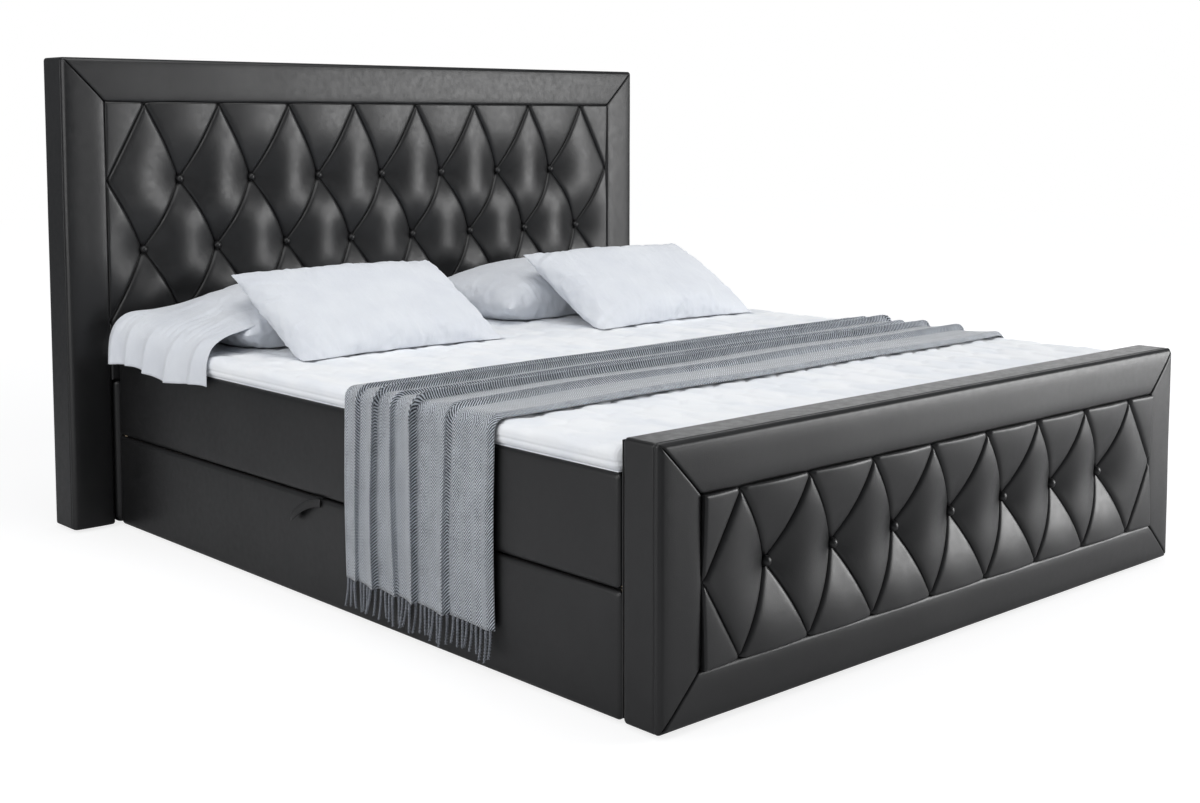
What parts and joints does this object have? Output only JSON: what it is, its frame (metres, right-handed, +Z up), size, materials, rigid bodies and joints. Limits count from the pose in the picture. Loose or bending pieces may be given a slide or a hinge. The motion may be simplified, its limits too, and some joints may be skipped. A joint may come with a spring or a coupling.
{
  "type": "box spring bed",
  "caption": "Box spring bed with button-tufted headboard and footboard, a side-opening storage chest on gas struts, topper, folded throw and pillows.",
  "frame": {"origin": "on the floor, at the middle of the bed's length and width", "axes": "+X to the hinged side, +Y from the footboard to the headboard, +Z up"},
  "size_m": [2.06, 2.238, 1.275],
  "materials": {
    "black_leatherette": "smooth black leatherette, fine grain, soft sheen",
    "black_lining": "plain black nonwoven cloth",
    "chipboard": "raw board",
    "timber": "planed softwood",
    "black_plastic": "matt",
    "grey_felt": "felt",
    "zinc_steel": "zinc plated",
    "black_tube": "satin black paint",
    "bright_rod": "hard chrome",
    "spring_pockets": "white nonwoven pockets",
    "foam": "open cell foam",
    "topper_cloth": "white quilted knit",
    "pillow_cotton": "white cotton",
    "throw_wool": "grey herringbone wool"
  },
  "bodies": {
    "base": {"headboard_tufted_panel": "black_leatherette", "headboard_buttons": "black_leatherette", "headboard_back_board": "chipboard", "headboard_timber": "timber", "headboard_back_lining": "black_lining", "headboard_rail_top": "black_leatherette", "headboard_rail_left": "black_leatherette", "headboard_rail_right": "black_leatherette", "headboard_lower_pad": "black_leatherette", "footboard_tufted_panel": "black_leatherette", "footboard_buttons": "black_leatherette", "footboard_back_board": "chipboard", "footboard_timber": "timber", "footboard_back_lining": "black_lining", "footboard_rail_top": "black_leatherette", "footboard_rail_left": "black_leatherette", "footboard_rail_right": "black_leatherette", "footboard_rail_bottom": "black_leatherette", "chest_cover_left": "black_leatherette", "chest_cover_right": "black_leatherette", "chest_side_boards": "chipboard", "chest_end_boards": "chipboard", "chest_end_bolts": "zinc_steel", "chest_floor_beams": "timber", "chest_floor_panels": "chipboard", "chest_corner_blocks": "timber", "glides": "black_plastic", "lid_rest_pads": "grey_felt", "hinge_chest_leaves": "zinc_steel", "hinge_pins": "zinc_steel", "strut_chest_brackets": "zinc_steel"},
    "lid": {"lid_cover_left": "black_leatherette", "lid_cover_right": "black_leatherette", "lid_side_rails": "timber", "lid_end_rails": "timber", "lid_centre_beam": "timber", "lid_slats": "timber", "lid_dust_cloth": "black_lining", "lid_spring_core": "spring_pockets", "lid_foam_pad": "foam", "lid_top_cloth": "black_lining", "lid_end_covers": "black_leatherette", "hinge_lid_leaves": "zinc_steel", "strut_lid_brackets": "zinc_steel", "pull_loop_tab": "black_leatherette"},
    "pull_loop": {"pull_loop": "black_leatherette"},
    "strut_cylinder_foot": {"strut_cylinder_foot": "black_tube"},
    "strut_rod_foot": {"strut_rod_foot": "bright_rod"},
    "strut_cylinder_head": {"strut_cylinder_head": "black_tube"},
    "strut_rod_head": {"strut_rod_head": "bright_rod"},
    "topper": {"topper_cover": "topper_cloth", "topper_core": "foam", "topper_underside": "topper_cloth"},
    "throw": {"throw": "throw_wool", "throw_fringe": "throw_wool"},
    "pillow_back_left": {"pillow_back_left": "pillow_cotton", "pillowcase_flap": "pillow_cotton"},
    "pillow_back_right": {"pillow_back_right": "pillow_cotton"},
    "pillow_front_left": {"pillow_front_left": "pillow_cotton"},
    "pillow_front_right": {"pillow_front_right": "pillow_cotton"}
  },
  "joints": [
    {"name": "lid_hinge", "type": "hinge", "parent": "base", "child": "lid", "pos_m": [0.898, -0.011, 0.253], "axis": [0, 1, 0], "range_deg": [0, 40]},
    {"name": "pull_loop_swing", "type": "hinge", "parent": "lid", "child": "pull_loop", "pos_m": [-0.9, -0.011, 0.2515], "axis": [0, 1, 0], "range_deg": [0, 80]},
    {"name": "strut_swing_foot", "type": "hinge", "parent": "base", "child": "strut_cylinder_foot", "pos_m": [0.744, -0.961, 0.063], "axis": [0, 1, 0], "range_deg": [0, 34.7]},
    {"name": "strut_slide_foot", "type": "slide", "parent": "strut_cylinder_foot", "child": "strut_rod_foot", "axis": [-0.83, 0, 0.5578], "range_m": [0, 0.16369]},
    {"name": "strut_swing_head", "type": "hinge", "parent": "base", "child": "strut_cylinder_head", "pos_m": [0.744, 0.939, 0.063], "axis": [0, 1, 0], "range_deg": [0, 34.7]},
    {"name": "strut_slide_head", "type": "slide", "parent": "strut_cylinder_head", "child": "strut_rod_head", "axis": [-0.83, 0, 0.5578], "range_m": [0, 0.16369]},
    {"name": "topper_lift", "type": "slide", "parent": "lid", "child": "topper", "axis": [0, 0, 1], "range_m": [0, 0.25]},
    {"name": "throw_lift", "type": "slide", "parent": "topper", "child": "throw", "axis": [0, 0, 1], "range_m": [0, 0.55]},
    {"name": "pillow_back_left_lift", "type": "slide", "parent": "topper", "child": "pillow_back_left", "axis": [0, 0, 1], "range_m": [0, 0.25]},
    {"name": "pillow_back_right_lift", "type": "slide", "parent": "topper", "child": "pillow_back_right", "axis": [0, 0, 1], "range_m": [0, 0.25]},
    {"name": "pillow_front_left_lift", "type": "slide", "parent": "pillow_back_left", "child": "pillow_front_left", "axis": [0, 0, 1], "range_m": [0, 0.25]},
    {"name": "pillow_front_right_lift", "type": "slide", "parent": "pillow_back_right", "child": "pillow_front_right", "axis": [0, 0, 1], "range_m": [0, 0.25]}
  ],
  "couplings": [
    {"joint": "strut_swing_foot", "follows": "lid_hinge", "ratio": 0.86748},
    {"joint": "strut_slide_foot", "follows": "lid_hinge", "m_per_rad": 0.23445},
    {"joint": "strut_swing_head", "follows": "lid_hinge", "ratio": 0.86748},
    {"joint": "strut_slide_head", "follows": "lid_hinge", "m_per_rad": 0.23445}
  ]
}
